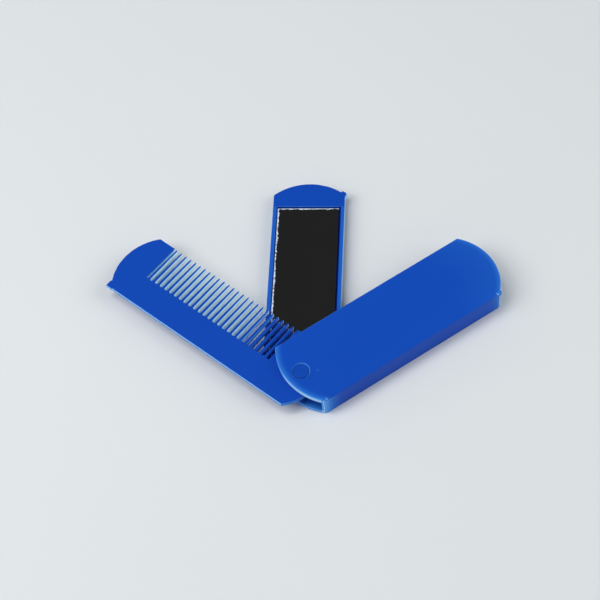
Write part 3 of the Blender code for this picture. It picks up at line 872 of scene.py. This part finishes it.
def build_rivet(finish):
    """The rivet, with a flush head whose rim is eased, a shank and a foot."""
    head_low = CASE_TOP - PIN_HEAD_THICKNESS
    head_flat = PIN_HEAD_RADIUS - PIN_EASE
    foot_flat = PIN_FOOT_RADIUS - PIN_EASE
    quarter = (0.0, math.pi / 6, math.pi / 3, math.pi / 2)
    profile = [(0, 0)]
    profile += [(foot_flat + PIN_EASE * math.sin(a), PIN_EASE - PIN_EASE * math.cos(a)) for a in quarter]
    profile += [(PIN_FOOT_RADIUS, PIN_FOOT_THICKNESS), (PIN_RADIUS, PIN_FOOT_THICKNESS),
                (PIN_RADIUS, head_low), (PIN_HEAD_RADIUS, head_low)]
    profile += [(head_flat + PIN_EASE * math.sin(a), CASE_TOP - PIN_EASE + PIN_EASE * math.cos(a))
                for a in reversed(quarter)]
    profile += [(PIN_HEAD_RADIUS - 1.5 * PIN_EASE, CASE_TOP), (0, CASE_TOP)]
    rivet = add_object("rivet_body", turned_mesh(profile, 72))
    rivet.data.materials.append(finish)
    # Painted shade on the rivet's steep faces, a dark ring round its head.
    mark_light(rivet, lambda place, centre, normal, steep: PIN_RIM_LIGHT * steep)
    return smooth(rivet)


def floor_material():
    """Pale matt paper."""
    new, tree, shader = blank_material("pale_paper")
    coordinates = tree.nodes.new("ShaderNodeTexCoord")
    blotches = noise(tree, coordinates.outputs["Object"], 6.0, 3.0)
    paper = mixed(tree, blotches, (0.735, 0.765, 0.785), (0.765, 0.795, 0.812))
    tree.links.new(paper, shader.inputs["Base Color"])
    shader.inputs["Roughness"].default_value = 0.9
    shader.inputs["Specular IOR Level"].default_value = 0.1
    return new


def build_floor():
    """A wide pale floor, just under the object."""
    builder = bmesh.new()
    bmesh.ops.create_circle(builder, cap_ends=True, radius=FLOOR_RADIUS, segments=96)
    ground = add_object("floor", builder)
    ground.location = (0, 0, -FLOOR_DROP)
    ground.data.materials.append(floor_material())


def aimed(obj, place, target):
    """Puts an object at a place on the stage's axes, with its -Z axis towards a target there."""
    here = STAGE @ Vector(place)
    there = STAGE @ Vector(target)
    turn = (there - here).to_track_quat("-Z", "Y")
    obj.matrix_world = Matrix.Translation(here) @ turn.to_matrix().to_4x4()


def soft_light(name, place, side, power):
    """A square soft light that faces the object. Only its reflection shows, not itself."""
    light = bpy.data.lights.new(name, "AREA")
    light.shape = "SQUARE"
    light.size = side
    light.energy = power
    lamp = bpy.data.objects.new(name, light)
    bpy.context.scene.collection.objects.link(lamp)
    aimed(lamp, place, LIGHT_TARGET)
    lamp.visible_camera = False


def build_world():
    """Pale walls up to a height, and a dark ceiling that the mirror and the flat faces reflect."""
    world = bpy.data.worlds.new("studio")
    bpy.context.scene.world = world
    world.use_nodes = True
    tree = world.node_tree
    background = tree.nodes["Background"]
    coordinates = tree.nodes.new("ShaderNodeTexCoord")
    split = tree.nodes.new("ShaderNodeSeparateXYZ")
    tree.links.new(coordinates.outputs["Generated"], split.inputs["Vector"])
    above_walls = mapped(tree, split.outputs["Z"], *WALL_TOP, 0.0, 1.0)
    surround = mixed(tree, above_walls, WALL_COLOUR, CEILING_COLOUR)
    tree.links.new(surround, background.inputs["Color"])
    background.inputs["Strength"].default_value = WORLD_STRENGTH


def build_camera():
    """The photograph's view."""
    level = Vector((0, math.cos(CAMERA_PITCH), -math.sin(CAMERA_PITCH)))
    across = Vector((1, 0, 0))
    down = level.cross(across)
    right = across * math.cos(CAMERA_ROLL) + down * math.sin(CAMERA_ROLL)
    below = -across * math.sin(CAMERA_ROLL) + down * math.cos(CAMERA_ROLL)
    turn = Matrix((right, -below, -level)).transposed().to_4x4()
    data = bpy.data.cameras.new("camera")
    data.lens = CAMERA_LENS
    data.sensor_width = CAMERA_SENSOR
    data.clip_start = 0.01
    data.clip_end = 20.0
    camera = bpy.data.objects.new("camera", data)
    bpy.context.scene.collection.objects.link(camera)
    camera.matrix_world = STAGE @ Matrix.Translation(CAMERA_PLACE) @ turn
    bpy.context.scene.camera = camera


def main():
    """Builds the pieces, the stage and the light."""
    case_finish = plastic("case_blue", CASE_BLUE, 0.0, end_bands())
    leaf_finish = plastic("leaf_blue", LEAF_BLUE, 3.1)
    pin_finish = plastic("pin_blue", PIN_BLUE, 5.7)

    case, nubs = build_case(case_finish)
    placed(case, "case", 0.0, "case_plastic", "case")
    for nub in nubs:
        placed(nub, "case", 0.0, "case_plastic")
    placed(build_rivet(pin_finish), "case", 0.0, "pin_plastic", "pivot_pin")
    placed(build_comb(leaf_finish), "comb", COMB_OPEN, "leaf_plastic", "comb_blade")
    placed(build_tray(leaf_finish), "mirror", HOLDER_OPEN, "leaf_plastic", "mirror_holder")
    placed(build_pane(silvered_glass(), ground_glass()), "mirror", HOLDER_OPEN, "mirror", "mirror_glass")
    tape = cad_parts["mirror_adhesive"]
    tape.data.materials.clear()
    tape.data.materials.append(foam_tape())

    build_floor()
    build_world()
    for name, place, side, power in SOFT_LIGHTS:
        soft_light(name, place, side, power)
    build_camera()
    bpy.context.scene.view_settings.view_transform = "Standard"


main()

bpy.context.view_layer.update()
